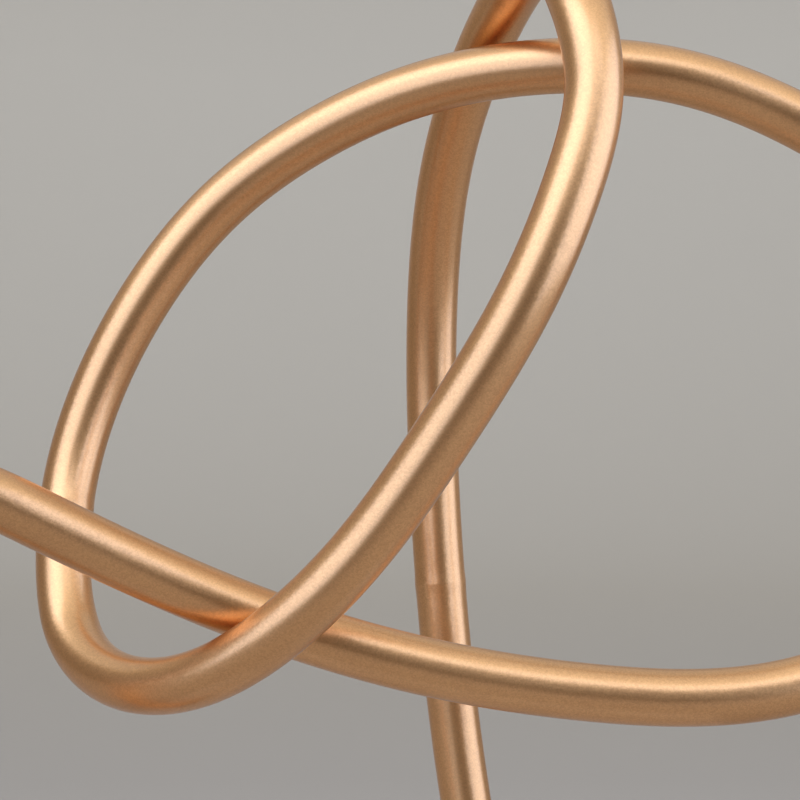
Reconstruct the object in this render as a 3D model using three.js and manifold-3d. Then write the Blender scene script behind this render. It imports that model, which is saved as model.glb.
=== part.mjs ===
// Abstract line sculpture: a satin gold tube loops through itself and stands with both of its
// ends screwed into a marble block. The tube is bent in sections that are butt-welded over
// spigots. Millimetres, +Z up, +X to the right, -Y to the viewer, origin under the base.
import * as THREE from 'three';
import { mergeVertices } from 'three/addons/utils/BufferGeometryUtils.js';
import Module from 'manifold-3d';

const wasm = await Module();
wasm.setup();

// Marble block
const BASE_WIDTH = 140;
const BASE_DEPTH = 110;
const BASE_HEIGHT = 38;
const BASE_CORNER_RADIUS = 4;
const BASE_EASED_EDGE = 1.2;

// Rubber sheet stuck under the block
const PAD_THICKNESS = 2;
const PAD_INSET = 5;

// Loops: the width and depth that their centreline spans, and its height over the marble
const LOOPS_WIDTH = 211.5;
const LOOPS_DEPTH = 87.4;
const LOOPS_HEIGHT = 181.8;

// Tube and its welds
const TUBE_DIAMETER = 10;
const TUBE_WALL = 1.2;
const WELD_GAP = 0.3;
const SPIGOT_LENGTH = 20;
const SPIGOT_CLEARANCE = 0.3;

// Legs: the feet of the tube stand in recesses in the top of the block
const REAR_FOOT = new THREE.Vector2(15.2, 40);
const FRONT_FOOT = new THREE.Vector2(-49, -16);
const LEG_RISE = 4;
const RECESS_DEPTH = 8;
const RECESS_CLEARANCE = 0.3;
const ADHESIVE_FILM = 0.2;

// Threaded plug in the end of each leg; what its wall leaves open takes the screw
const PLUG_LENGTH = 11;
const PLUG_WALL = 1.35;
const PLUG_CLEARANCE = 0.2;

// Screw and washers under each leg
const SCREW_HEAD_DIAMETER = 7;
const SCREW_HEAD_HEIGHT = 4;
const HEX_SIDES = 6;
const HEX_SOCKET_SIZE = 3;
const HEX_SOCKET_DEPTH = 2;
const SCREW_TIP_CHAMFER = 0.5;
const SCREW_TIP_SETBACK = 1;
const THREAD_CLEARANCE = 0.25;
const SCREW_HOLE_CLEARANCE = 0.5;
const LOCK_WASHER_DIAMETER = 7.6;
const LOCK_WASHER_THICKNESS = 0.9;
const LOCK_WASHER_SPLIT_DEGREES = 14;
const FLAT_WASHER_DIAMETER = 9;
const FLAT_WASHER_THICKNESS = 0.8;
const SCREW_HEAD_INSET = 4;
const COUNTERBORE_CLEARANCE = 0.5;

// Facets
const TUBE_SIDES = 16;
const BORE_SIDES = 8;
const FASTENER_SIDES = 20;
const TUBE_RING_SPACING = 6;
const SPIGOT_RING_SPACING = 4;
const CORNER_SEGMENTS = 2;
const CURVE_SAMPLES_PER_SPAN = 50;

// Centreline between the two legs, from the rear leg: x, y and the height over the marble, as
// drawn before it is stretched to the loops' width, depth and height
const ROUTE = [
  // Rear stem: rises straight from the foot, then comes forward to the top
  [12.4, 41.6, 29.9], [8.7, 43.3, 61.1], [6.6, 44.6, 94.9], [6.6, 40.8, 128.2], [9.6, 28.7, 152.8],
  [18.3, 7.6, 175.6],
  // Crown: the turn over the top, from the back to the front
  [24.6, -11.5, 181.8], [29.5, -30, 172.2], [31.7, -36.9, 156.1], [28.3, -40.6, 140.8],
  // Front sweep: slants down to the left, nearest to the viewer
  [21, -42.8, 123], [6.5, -40.9, 98.5], [-7, -38.5, 79.8], [-19.6, -35.5, 67.3], [-29.6, -30.7, 60.4],
  // Left return: a tight turn, from going left to going up
  [-39.3, -23.9, 56.7], [-50.5, -13.6, 57], [-58.9, -1.6, 64.3], [-61.4, 5.1, 75.3],
  // Top arch: rises on the left, passes behind the front sweep and falls to the right
  [-60.8, 12.1, 91.6], [-46.9, 16.9, 125.4], [-32.8, 17, 142.4], [-18.1, 14.2, 152.9],
  [-2, 9.9, 160.3], [23.1, 1.6, 165], [47.3, -2.1, 163.5], [71.5, -0.5, 155.2],
  // Right bow
  [96, -4, 135], [106.5, -5, 103], [96, -7, 70],
  // Lower sweep: runs to the left, under the front sweep
  [69.8, -12.9, 55.5], [34.3, -16.7, 54.4], [-3, -20.5, 61.3], [-34.8, -24.4, 72.7], [-61, -33.1, 86],
  // Left bow, down to the front leg
  [-79, -39, 92.5], [-97, -38.5, 85.5], [-105, -33.5, 65], [-93, -27, 42.5], [-70, -20, 28.5],
];

// Sections of the tube, from the rear foot, and each one's share of its length
const SECTIONS = [
  { name: 'rear_leg', share: 77 },
  { name: 'rear_riser', share: 104.5 },
  { name: 'front_loop', share: 265 },
  { name: 'top_arch', share: 141.5 },
  { name: 'right_bow', share: 117 },
  { name: 'lower_sweep', share: 147.5 },
  { name: 'left_bow', share: 150.5 },
  { name: 'front_leg', share: 61 },
];

// Sizes that follow from those above
const MARBLE_TOP = PAD_THICKNESS + BASE_HEIGHT;
const RECESS_FLOOR = MARBLE_TOP - RECESS_DEPTH;
const FASTENER_STACK = FLAT_WASHER_THICKNESS + LOCK_WASHER_THICKNESS + SCREW_HEAD_HEIGHT;
const COUNTERBORE_DEPTH = FASTENER_STACK + SCREW_HEAD_INSET;
const COUNTERBORE_CEILING = PAD_THICKNESS + COUNTERBORE_DEPTH;
const WIDEST_FASTENER = Math.max(FLAT_WASHER_DIAMETER, LOCK_WASHER_DIAMETER, SCREW_HEAD_DIAMETER);
const TUBE_RADIUS = TUBE_DIAMETER / 2;
const BORE_RADIUS = TUBE_RADIUS - TUBE_WALL;
const SPIGOT_RADIUS = BORE_RADIUS - SPIGOT_CLEARANCE;
const PLUG_RADIUS = BORE_RADIUS - PLUG_CLEARANCE;
const PLUG_BORE_RADIUS = PLUG_RADIUS - PLUG_WALL;
const SCREW_RADIUS = PLUG_BORE_RADIUS - THREAD_CLEARANCE;
const WASHER_BORE_RADIUS = SCREW_RADIUS + THREAD_CLEARANCE;
const UP = new THREE.Vector3(0, 0, 1);

const goldLacquer = new THREE.MeshStandardMaterial({ color: '#c08a55', roughness: 0.34, metalness: 1 });
const marble = new THREE.MeshStandardMaterial({ color: '#aaa7a3', roughness: 0.22, metalness: 0 });
const rubber = new THREE.MeshStandardMaterial({ color: '#2c2b2a', roughness: 0.85, metalness: 0 });
const zincSteel = new THREE.MeshStandardMaterial({ color: '#b4b6b8', roughness: 0.38, metalness: 1 });
const millSteel = new THREE.MeshStandardMaterial({ color: '#8f9194', roughness: 0.5, metalness: 1 });

// Smooth curve through points: a cubic spline whose bend changes evenly through every point,
// with given directions at its two ends.
class SmoothRoute extends THREE.Curve {
  constructor(points, startDirection, endDirection) {
    super();
    this.points = points;
    this.arcLengthDivisions = CURVE_SAMPLES_PER_SPAN * points.length;
    this.spans = points.slice(1).map((point, i) => point.distanceTo(points[i]));
    this.slopes = this.solveSlopes(startDirection, endDirection);
  }

  // Slopes at the points, by elimination along the chain of equal second derivatives
  solveSlopes(startDirection, endDirection) {
    const { points, spans } = this;
    const last = points.length - 1;
    const chords = spans.map((span, i) => points[i + 1].clone().sub(points[i]).divideScalar(span));
    const slopes = [startDirection.clone()];
    const factors = [0];
    for (let i = 1; i < last; i++) {
      const before = spans[i - 1];
      const after = spans[i];
      const pivot = 2 * (before + after) - after * factors[i - 1];
      const pull = chords[i - 1].clone().multiplyScalar(3 * after).addScaledVector(chords[i], 3 * before);
      slopes.push(pull.addScaledVector(slopes[i - 1], -after).divideScalar(pivot));
      factors.push(before / pivot);
    }
    slopes.push(endDirection.clone());
    for (let i = last - 1; i > 0; i--) {
      slopes[i].addScaledVector(slopes[i + 1], -factors[i]);
    }
    return slopes;
  }

  getPoint(t, target = new THREE.Vector3()) {
    const { points, spans, slopes } = this;
    let distance = t * spans.reduce((sum, span) => sum + span, 0);
    let i = 0;
    while (i < spans.length - 1 && distance > spans[i]) {
      distance -= spans[i];
      i++;
    }
    const u = distance / spans[i];
    const v = 1 - u;
    return target
      .set(0, 0, 0)
      .addScaledVector(points[i], v * v * (1 + 2 * u))
      .addScaledVector(slopes[i], v * v * u * spans[i])
      .addScaledVector(slopes[i + 1], -u * u * v * spans[i])
      .addScaledVector(points[i + 1], u * u * (1 + 2 * v));
  }
}

// Stretch of a path between two distances along it
class Stretch extends THREE.Curve {
  constructor(path, start, end) {
    super();
    this.path = path;
    this.start = start;
    this.end = end;
  }

  getPoint(t, target = new THREE.Vector3()) {
    const distance = this.start + t * (this.end - this.start);
    return target.copy(this.path.getPoint(distance / this.path.getLength()));
  }
}

// Drawn route at the loops' own width, depth and height
function stretchedRoute() {
  const drawn = ROUTE.map((point) => new THREE.Vector3(...point));
  const { min, max } = new THREE.Box3().setFromPoints(drawn);
  const stretch = new THREE.Vector3(
    LOOPS_WIDTH / (max.x - min.x),
    LOOPS_DEPTH / (max.y - min.y),
    LOOPS_HEIGHT / max.z,
  );
  return drawn.map((point) => point.multiply(stretch));
}

// Whole centreline, foot to foot: a straight leg, the route and another straight leg
function tubeCentreline() {
  const rearSeat = new THREE.Vector3(REAR_FOOT.x, REAR_FOOT.y, RECESS_FLOOR + ADHESIVE_FILM);
  const rearTop = new THREE.Vector3(REAR_FOOT.x, REAR_FOOT.y, MARBLE_TOP + LEG_RISE);
  const frontTop = new THREE.Vector3(FRONT_FOOT.x, FRONT_FOOT.y, MARBLE_TOP + LEG_RISE);
  const frontSeat = new THREE.Vector3(FRONT_FOOT.x, FRONT_FOOT.y, RECESS_FLOOR + ADHESIVE_FILM);
  const between = stretchedRoute().map((point) => point.addScaledVector(UP, MARBLE_TOP));
  const path = new THREE.CurvePath();
  path.add(new THREE.LineCurve3(rearSeat, rearTop));
  path.add(new SmoothRoute([rearTop, ...between, frontTop], UP, UP.clone().negate()));
  path.add(new THREE.LineCurve3(frontTop, frontSeat));
  return path;
}

// Radius to the corners of a regular polygon, from the radius to its flats
function cornerRadius(flatRadius, sides) {
  return flatRadius / Math.cos(Math.PI / sides);
}

function circlePoints(radius, sides) {
  return Array.from({ length: sides }, (_, i) => {
    const angle = (2 * Math.PI * i) / sides;
    return new THREE.Vector2(radius * Math.cos(angle), radius * Math.sin(angle));
  });
}

function ringShape(outerRadius, outerSides, innerRadius, innerSides) {
  const ring = new THREE.Shape(circlePoints(outerRadius, outerSides));
  ring.holes.push(new THREE.Path(circlePoints(innerRadius, innerSides)));
  return ring;
}

function roundedRectangle(width, depth, radius) {
  const x = width / 2 - radius;
  const y = depth / 2 - radius;
  const outline = new THREE.Shape();
  outline.absarc(x, y, radius, 0, Math.PI / 2);
  outline.absarc(-x, y, radius, Math.PI / 2, Math.PI);
  outline.absarc(-x, -y, radius, Math.PI, 1.5 * Math.PI);
  outline.absarc(x, -y, radius, 1.5 * Math.PI, 2 * Math.PI);
  return outline;
}

function extrudeUp(shape, height) {
  return new THREE.ExtrudeGeometry(shape, {
    depth: height,
    bevelEnabled: false,
    curveSegments: CORNER_SEGMENTS,
  });
}

function extrudeAlong(shape, path, ringSpacing) {
  return new THREE.ExtrudeGeometry(shape, {
    extrudePath: path,
    steps: Math.ceil(path.getLength() / ringSpacing),
  });
}

// Upright cylinder standing at the given height
function uprightCylinder(radius, height, bottom, sides = FASTENER_SIDES) {
  const cylinder = new THREE.CylinderGeometry(radius, radius, height, sides);
  return cylinder.rotateX(Math.PI / 2).translate(0, 0, bottom + height / 2);
}

function solidFrom(geometry) {
  const positions = geometry.clone();
  positions.deleteAttribute('normal');
  positions.deleteAttribute('uv');
  const merged = mergeVertices(positions);
  return new wasm.Manifold(new wasm.Mesh({
    numProp: 3,
    vertProperties: new Float32Array(merged.attributes.position.array),
    triVerts: new Uint32Array(merged.index.array),
  }));
}

function geometryFrom(solid) {
  const { vertProperties, triVerts } = solid.getMesh();
  const indexed = new THREE.BufferGeometry();
  indexed.setAttribute('position', new THREE.BufferAttribute(vertProperties, 3));
  indexed.setIndex(new THREE.BufferAttribute(triVerts, 1));
  const faceted = indexed.toNonIndexed();
  faceted.computeVertexNormals();
  return faceted;
}

function cutAway(geometry, tools) {
  const cut = tools.reduce((solid, tool) => solid.subtract(solidFrom(tool)), solidFrom(geometry));
  return geometryFrom(cut);
}

// Block with eased edges, a recess for each leg, and a stepped screw hole under each recess
function marbleBaseGeometry() {
  const outline = roundedRectangle(BASE_WIDTH, BASE_DEPTH, BASE_CORNER_RADIUS);
  const block = new THREE.ExtrudeGeometry(outline, {
    depth: BASE_HEIGHT - 2 * BASE_EASED_EDGE,
    bevelThickness: BASE_EASED_EDGE,
    bevelSize: BASE_EASED_EDGE,
    bevelOffset: -BASE_EASED_EDGE,
    bevelSegments: CORNER_SEGMENTS,
    curveSegments: CORNER_SEGMENTS,
  });
  block.translate(0, 0, PAD_THICKNESS + BASE_EASED_EDGE);

  const recessRadius = TUBE_RADIUS + RECESS_CLEARANCE;
  const holeRadius = SCREW_RADIUS + SCREW_HOLE_CLEARANCE;
  const counterboreRadius = WIDEST_FASTENER / 2 + COUNTERBORE_CLEARANCE;
  const cuts = [REAR_FOOT, FRONT_FOOT].flatMap((foot) => [
    uprightCylinder(recessRadius, 2 * RECESS_DEPTH, RECESS_FLOOR),
    uprightCylinder(holeRadius, BASE_HEIGHT, PAD_THICKNESS),
    uprightCylinder(counterboreRadius, 2 * COUNTERBORE_DEPTH, COUNTERBORE_CEILING - 2 * COUNTERBORE_DEPTH),
  ].map((cylinder) => cylinder.translate(foot.x, foot.y, 0)));
  return cutAway(block, cuts);
}

function basePadGeometry() {
  const width = BASE_WIDTH - 2 * PAD_INSET;
  const depth = BASE_DEPTH - 2 * PAD_INSET;
  return extrudeUp(roundedRectangle(width, depth, BASE_CORNER_RADIUS), PAD_THICKNESS);
}

// Socket-head screw: head down, shank up through the marble into the leg's plug
function legScrewGeometry(headTop, tipHeight) {
  const headRadius = SCREW_HEAD_DIAMETER / 2;
  const headBottom = headTop - SCREW_HEAD_HEIGHT;
  const profile = [
    new THREE.Vector2(0, headBottom),
    new THREE.Vector2(headRadius, headBottom),
    new THREE.Vector2(headRadius, headTop),
    new THREE.Vector2(SCREW_RADIUS, headTop),
    new THREE.Vector2(SCREW_RADIUS, tipHeight - SCREW_TIP_CHAMFER),
    new THREE.Vector2(SCREW_RADIUS - SCREW_TIP_CHAMFER, tipHeight),
    new THREE.Vector2(0, tipHeight),
  ];
  const screw = new THREE.LatheGeometry(profile, FASTENER_SIDES).rotateX(Math.PI / 2);
  const socketRadius = cornerRadius(HEX_SOCKET_SIZE / 2, HEX_SIDES);
  const socketBottom = headBottom - HEX_SOCKET_DEPTH;
  const socket = uprightCylinder(socketRadius, 2 * HEX_SOCKET_DEPTH, socketBottom, HEX_SIDES);
  return cutAway(screw, [socket]);
}

function flatWasherGeometry() {
  const ring = ringShape(FLAT_WASHER_DIAMETER / 2, FASTENER_SIDES, WASHER_BORE_RADIUS, FASTENER_SIDES);
  return extrudeUp(ring, FLAT_WASHER_THICKNESS);
}

// Spring washer: a ring with a split
function lockWasherGeometry() {
  const halfSplit = THREE.MathUtils.degToRad(LOCK_WASHER_SPLIT_DEGREES) / 2;
  const ring = new THREE.Shape();
  ring.absarc(0, 0, LOCK_WASHER_DIAMETER / 2, halfSplit, 2 * Math.PI - halfSplit);
  ring.absarc(0, 0, WASHER_BORE_RADIUS, 2 * Math.PI - halfSplit, halfSplit, true);
  return new THREE.ExtrudeGeometry(ring, {
    depth: LOCK_WASHER_THICKNESS,
    bevelEnabled: false,
    curveSegments: FASTENER_SIDES / 2,
  });
}

function legPlugGeometry() {
  const ring = ringShape(PLUG_RADIUS, FASTENER_SIDES, PLUG_BORE_RADIUS, FASTENER_SIDES);
  return extrudeUp(ring, PLUG_LENGTH);
}

function addPiece(group, name, geometry, material, height = 0) {
  const piece = new THREE.Mesh(geometry, material);
  piece.name = name;
  piece.position.z = height;
  group.add(piece);
}

function baseGroup() {
  const group = new THREE.Group();
  addPiece(group, 'base_pad', basePadGeometry(), rubber);
  addPiece(group, 'marble_base', marbleBaseGeometry(), marble);
  return group;
}

// Plug, screw and washers of one leg, stacked up the leg's axis
function legFasteners(legName, foot) {
  const group = new THREE.Group();
  group.position.set(foot.x, foot.y, 0);
  const flatWasherBottom = COUNTERBORE_CEILING - FLAT_WASHER_THICKNESS;
  const lockWasherBottom = flatWasherBottom - LOCK_WASHER_THICKNESS;
  const plugBottom = RECESS_FLOOR + ADHESIVE_FILM;
  const tipHeight = plugBottom + PLUG_LENGTH - SCREW_TIP_SETBACK;
  addPiece(group, `${legName}_plug`, legPlugGeometry(), millSteel, plugBottom);
  addPiece(group, `${legName}_flat_washer`, flatWasherGeometry(), zincSteel, flatWasherBottom);
  addPiece(group, `${legName}_lock_washer`, lockWasherGeometry(), zincSteel, lockWasherBottom);
  addPiece(group, `${legName}_screw`, legScrewGeometry(lockWasherBottom, tipHeight), zincSteel);
  return group;
}

// Tube sections end to end, with a spigot inside each weld between them
function tubeGroup() {
  const group = new THREE.Group();
  const centreline = tubeCentreline();
  const boreCornerRadius = cornerRadius(BORE_RADIUS, BORE_SIDES);
  const tubeSection = ringShape(TUBE_RADIUS, TUBE_SIDES, boreCornerRadius, BORE_SIDES);
  const spigotSection = new THREE.Shape(circlePoints(SPIGOT_RADIUS, BORE_SIDES));
  const lengthPerShare = centreline.getLength() / SECTIONS.reduce((sum, { share }) => sum + share, 0);
  let start = 0;
  SECTIONS.forEach(({ name, share }, i) => {
    const end = start + share * lengthPerShare;
    const firstCut = i === 0 ? start : start + WELD_GAP / 2;
    const lastCut = i === SECTIONS.length - 1 ? end : end - WELD_GAP / 2;
    const tubeStretch = new Stretch(centreline, firstCut, lastCut);
    addPiece(group, `${name}_tube`, extrudeAlong(tubeSection, tubeStretch, TUBE_RING_SPACING), goldLacquer);
    if (i < SECTIONS.length - 1) {
      const spigotStretch = new Stretch(centreline, end - SPIGOT_LENGTH / 2, end + SPIGOT_LENGTH / 2);
      const spigot = extrudeAlong(spigotSection, spigotStretch, SPIGOT_RING_SPACING);
      addPiece(group, `${name}_spigot`, spigot, millSteel);
    }
    start = end;
  });
  return group;
}

const sculpture = new THREE.Group();
sculpture.add(
  baseGroup(),
  legFasteners('rear_leg', REAR_FOOT),
  legFasteners('front_leg', FRONT_FOOT),
  tubeGroup(),
);

export default sculpture;
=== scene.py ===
"""Portrait of an abstract loop sculpture: a satin gold tube that stands on a marble block.

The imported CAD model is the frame. Smooth, dressed pieces take the place of its faceted solids, and
the studio, the light and the camera are set around them. Lengths are in metres, +Z is up and the
viewer is on the -Y side.
"""
import logging
import math
from dataclasses import dataclass, field
from enum import Enum

import bmesh
import bpy
import numpy as np
from mathutils import Matrix, Vector


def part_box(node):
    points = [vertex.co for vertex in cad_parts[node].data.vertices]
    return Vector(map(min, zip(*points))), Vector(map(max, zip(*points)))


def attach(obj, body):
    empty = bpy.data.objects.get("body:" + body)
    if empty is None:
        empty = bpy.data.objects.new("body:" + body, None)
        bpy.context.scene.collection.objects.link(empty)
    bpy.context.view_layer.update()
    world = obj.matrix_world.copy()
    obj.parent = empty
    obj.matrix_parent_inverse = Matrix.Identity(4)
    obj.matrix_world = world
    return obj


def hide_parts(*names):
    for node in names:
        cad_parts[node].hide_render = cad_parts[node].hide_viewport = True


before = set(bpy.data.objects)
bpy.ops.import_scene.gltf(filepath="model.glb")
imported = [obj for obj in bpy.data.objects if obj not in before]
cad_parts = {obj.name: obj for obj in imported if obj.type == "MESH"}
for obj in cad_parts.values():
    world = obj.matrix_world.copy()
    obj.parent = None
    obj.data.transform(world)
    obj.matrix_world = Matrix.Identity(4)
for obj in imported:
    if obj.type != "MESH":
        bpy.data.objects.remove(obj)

LOG = logging.getLogger("loop_sculpture")
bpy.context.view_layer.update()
MM = 0.001
BODY = "root"
# Bands that a wave texture of scale 1 draws in one metre
WAVE_BANDS = 20 / math.tau
# A colour Mix node's two colour inputs and its output, whose names its other kinds share
MIX_A, MIX_B, MIX_RESULT = 6, 7, 2
# Faces whose normal is at least this upright are level, and points this close are one
LEVEL = 0.999
TOUCH = 0.01 * MM
# Edges that turn by more than this stay crisp
SHARP_DEGREES = 35.0
# Facets of a block's round corners and of its eased edges
CORNER_SEGMENTS, EASE_SEGMENTS = 10, 5
# Height of the middle of the loops, which the camera and the softboxes face
LOOPS_MIDDLE = 0.145

# Middle of the tube between its two legs, from the rear leg, in millimetres: x, y and the height
# over the marble
ROUTE_MM = (
    # Rear stem
    (12.4, 41.6, 29.9), (8.7, 43.3, 61.1), (6.6, 44.6, 94.9), (6.6, 40.8, 128.2), (9.6, 28.7, 152.8),
    (18.3, 7.6, 175.6),
    # Crown
    (24.6, -11.5, 181.8), (29.5, -30, 172.2), (31.7, -36.9, 156.1), (28.3, -40.6, 140.8),
    # Front sweep
    (21, -42.8, 123), (6.5, -40.9, 98.5), (-7, -38.5, 79.8), (-19.6, -35.5, 67.3),
    (-29.6, -30.7, 60.4),
    # Left return
    (-39.3, -23.9, 56.7), (-50.5, -13.6, 57), (-58.9, -1.6, 64.3), (-61.4, 5.1, 75.3),
    # Top arch
    (-60.8, 12.1, 91.6), (-46.9, 16.9, 125.4), (-32.8, 17, 142.4), (-18.1, 14.2, 152.9),
    (-2, 9.9, 160.3), (23.1, 1.6, 165), (47.3, -2.1, 163.5), (71.5, -0.5, 155.2),
    # Right bow
    (96, -4, 135), (106.5, -5, 103), (96, -7, 70),
    # Lower sweep
    (69.8, -12.9, 55.5), (34.3, -16.7, 54.4), (-3, -20.5, 61.3), (-34.8, -24.4, 72.7),
    (-61, -33.1, 86),
    # Left bow
    (-79, -39, 92.5), (-97, -38.5, 85.5), (-105, -33.5, 65), (-93, -27, 42.5), (-70, -20, 28.5),
)


class Leg(Enum):
    """The two ends of the tube that stand in the marble."""

    REAR = "rear_leg"
    FRONT = "front_leg"


class Section(Enum):
    """Tube sections from the rear foot, each with its share of the tube's length."""

    REAR_LEG = ("rear_leg", 77)
    REAR_RISER = ("rear_riser", 104.5)
    FRONT_LOOP = ("front_loop", 265)
    TOP_ARCH = ("top_arch", 141.5)
    RIGHT_BOW = ("right_bow", 117)
    LOWER_SWEEP = ("lower_sweep", 147.5)
    LEFT_BOW = ("left_bow", 150.5)
    FRONT_LEG = ("front_leg", 61)

    @property
    def title(self) -> str:
        """Name of the section."""
        return self.value[0]

    @property
    def share(self) -> float:
        """Share of the tube's length."""
        return self.value[1]


class Slot(Enum):
    """The record's material slots."""

    GOLD = "gold_lacquer"
    MARBLE = "grey_marble"
    RUBBER = "black_rubber"
    ZINC = "zinc_steel"
    TURNED = "mill_steel"


def linear(hex_colour: str) -> tuple[float, float, float, float]:
    """Turns an sRGB hex colour to linear light.

    Args:
        hex_colour: Colour such as "#c08a55".

    Returns:
        Linear red, green and blue, and an alpha of 1.
    """
    channels = [int(hex_colour[i:i + 2], 16) / 255 for i in (1, 3, 5)]
    light = [c / 12.92 if c <= 0.04045 else ((c + 0.055) / 1.055) ** 2.4 for c in channels]
    return (*light, 1.0)


def per_metre(size_mm: float) -> float:
    """Gives the texture scale whose features are the given size in millimetres."""
    return 1 / (size_mm * MM)


def add_node(
    tree: bpy.types.NodeTree,
    kind: str,
    settings: dict[str | int, object] | None = None,
    links: dict[str | int, bpy.types.NodeSocket] | None = None,
) -> bpy.types.Node:
    """Adds one node with its settings and incoming links.

    Args:
        tree: Node tree that gets the node.
        kind: Node type.
        settings: Values by input name, input number or property name.
        links: Output sockets by input name or number.

    Returns:
        The new node.
    """
    node = tree.nodes.new(kind)
    for key, value in (settings or {}).items():
        if isinstance(key, int) or key in node.inputs:
            node.inputs[key].default_value = value
        else:
            setattr(node, key, value)
    for key, socket in (links or {}).items():
        tree.links.new(socket, node.inputs[key])
    return node


def new_material(name: str) -> tuple[bpy.types.Material, bpy.types.NodeTree]:
    """Starts an empty node material.

    Args:
        name: Material name.

    Returns:
        The material and its node tree.
    """
    material = bpy.data.materials.new(name)
    material.use_nodes = True
    material.node_tree.nodes.clear()
    return material, material.node_tree


@dataclass(frozen=True)
class GoldLacquer:
    """Satin metallic lacquer, sprayed: fine gold flake in a clear binder.

    The eye gets broad soft highlights, brown shade and a fine sparkle of flakes that differ a little in
    tilt and brightness.
    """

    deep: str = "#d59c65"
    pale: str = "#eaaf73"
    # Tint of light that grazes the surface
    edge: str = "#ecd9c8"
    roughness: float = 0.345
    # Real flake is about 0.05 mm; it is drawn this coarse so that it shows in the render
    flake_mm: float = 0.25
    flake_tilt: float = 0.05
    # Slow drift of the sprayed film, and how far it moves the roughness either way
    drift_mm: float = 28.0
    drift_detail: float = 3.0
    drift_roughness: float = 0.03
    # Sum of flake and drift at which the colour is all deep, and all pale
    deep_sum: float = 0.3
    pale_sum: float = 1.7
    # Clear binder over the flake
    binder: float = 0.8
    binder_roughness: float = 0.22

    def material(self) -> bpy.types.Material:
        """Builds the material.

        Returns:
            The lacquer.
        """
        material, tree = new_material("gold_lacquer")
        place = add_node(tree, "ShaderNodeTexCoord").outputs["Object"]
        flake = add_node(
            tree,
            "ShaderNodeTexVoronoi",
            {"Scale": per_metre(self.flake_mm)},
            {"Vector": place},
        )
        centred = add_node(
            tree,
            "ShaderNodeVectorMath",
            {"operation": "SUBTRACT", 1: (0.5, 0.5, 0.5)},
            {0: flake.outputs["Color"]},
        )
        tilt = add_node(
            tree,
            "ShaderNodeVectorMath",
            {"operation": "SCALE", "Scale": self.flake_tilt},
            {0: centred.outputs["Vector"]},
        )
        facing = add_node(tree, "ShaderNodeNewGeometry").outputs["Normal"]
        tilted = add_node(
            tree,
            "ShaderNodeVectorMath",
            {"operation": "ADD"},
            {0: facing, 1: tilt.outputs["Vector"]},
        )
        normal = add_node(
            tree,
            "ShaderNodeVectorMath",
            {"operation": "NORMALIZE"},
            {0: tilted.outputs["Vector"]},
        )
        drift = add_node(
            tree,
            "ShaderNodeTexNoise",
            {"Scale": per_metre(self.drift_mm), "Detail": self.drift_detail},
            {"Vector": place},
        )
        sparkle = add_node(tree, "ShaderNodeSeparateColor", None, {"Color": flake.outputs["Color"]})
        brightness = add_node(
            tree,
            "ShaderNodeMath",
            {"operation": "ADD"},
            {0: sparkle.outputs["Red"], 1: drift.outputs["Fac"]},
        )
        shade = add_node(
            tree,
            "ShaderNodeMapRange",
            {"From Min": self.deep_sum, "From Max": self.pale_sum},
            {"Value": brightness.outputs["Value"]},
        )
        colour = add_node(
            tree,
            "ShaderNodeMix",
            {"data_type": "RGBA", MIX_A: linear(self.deep), MIX_B: linear(self.pale)},
            {0: shade.outputs["Result"]},
        )
        rough = add_node(
            tree,
            "ShaderNodeMapRange",
            {
                "To Min": self.roughness - self.drift_roughness,
                "To Max": self.roughness + self.drift_roughness,
            },
            {"Value": drift.outputs["Fac"]},
        )
        shader = add_node(
            tree,
            "ShaderNodeBsdfPrincipled",
            {
                "Metallic": 1.0,
                "Specular Tint": linear(self.edge),
                "Coat Weight": self.binder,
                "Coat Roughness": self.binder_roughness,
            },
            {
                "Base Color": colour.outputs[MIX_RESULT],
                "Roughness": rough.outputs["Result"],
                "Normal": normal.outputs["Vector"],
            },
        )
        add_node(tree, "ShaderNodeOutputMaterial", None, {"Surface": shader.outputs["BSDF"]})
        return material


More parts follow.
